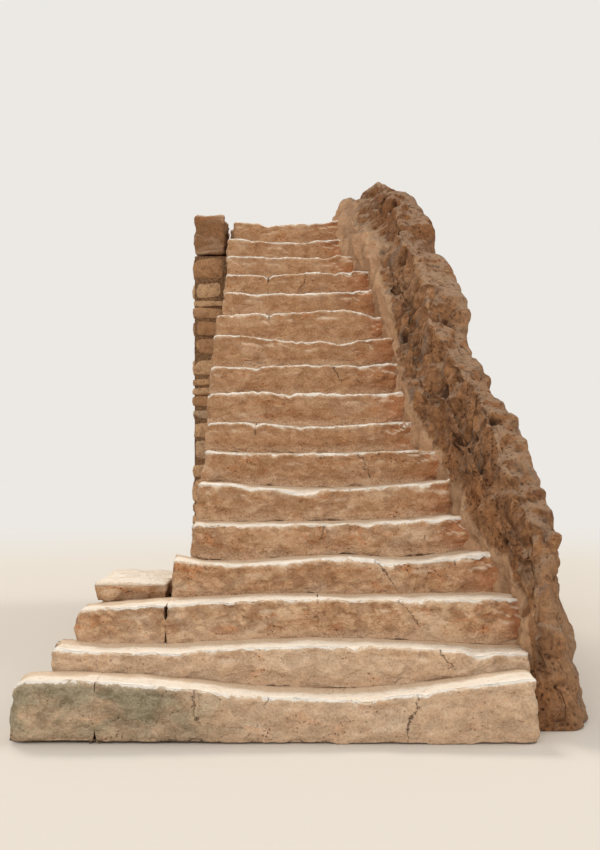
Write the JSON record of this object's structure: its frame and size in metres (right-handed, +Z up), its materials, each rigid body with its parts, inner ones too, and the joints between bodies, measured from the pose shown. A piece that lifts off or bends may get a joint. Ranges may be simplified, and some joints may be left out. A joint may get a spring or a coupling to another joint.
{
  "type": "outdoor stone steps",
  "caption": "Straight flight of worn limestone steps with spreading bottom steps, a free rubble flank on the left and a hewn rock bank on the right.",
  "frame": {"origin": "middle of the base, on the ground", "axes": "+Y is the way the steps climb, +X to the right of someone climbing, +Z up"},
  "size_m": [2.96, 5.7, 3.83],
  "materials": {
    "worn_limestone": "worn smooth on the treads, rough on the faces",
    "kerb_limestone": "rough hewn",
    "rubble_masonry": "rubble stones in earth mortar",
    "bedrock": "hewn and weathered"
  },
  "bodies": {
    "root": {"back_wall": "rubble_masonry", "kerb_back": "kerb_limestone", "kerb_front": "kerb_limestone", "landing_left": "kerb_limestone", "landing_right": "kerb_limestone", "left_flank_wall": "rubble_masonry", "left_rubble_pier": "rubble_masonry", "lower_bed": "rubble_masonry", "right_rock_bank": "bedrock", "rubble_core": "rubble_masonry", "side_landing_base": "rubble_masonry", "side_sill": "kerb_limestone", "side_slab": "kerb_limestone", "step_01_left": "worn_limestone", "step_01_right": "worn_limestone", "step_02": "worn_limestone", "step_03_left": "worn_limestone", "step_03_middle": "worn_limestone", "step_03_right": "worn_limestone", "step_04": "worn_limestone", "step_05": "worn_limestone", "step_06": "worn_limestone", "step_07": "worn_limestone", "step_08_left": "worn_limestone", "step_08_right": "worn_limestone", "step_09": "worn_limestone", "step_10": "worn_limestone", "step_11": "worn_limestone", "step_12_left": "worn_limestone", "step_12_right": "worn_limestone", "step_13": "worn_limestone", "step_14_left": "worn_limestone", "step_14_right": "worn_limestone", "step_15": "worn_limestone", "step_16": "worn_limestone", "step_17": "worn_limestone"}
  },
  "joints": []
}
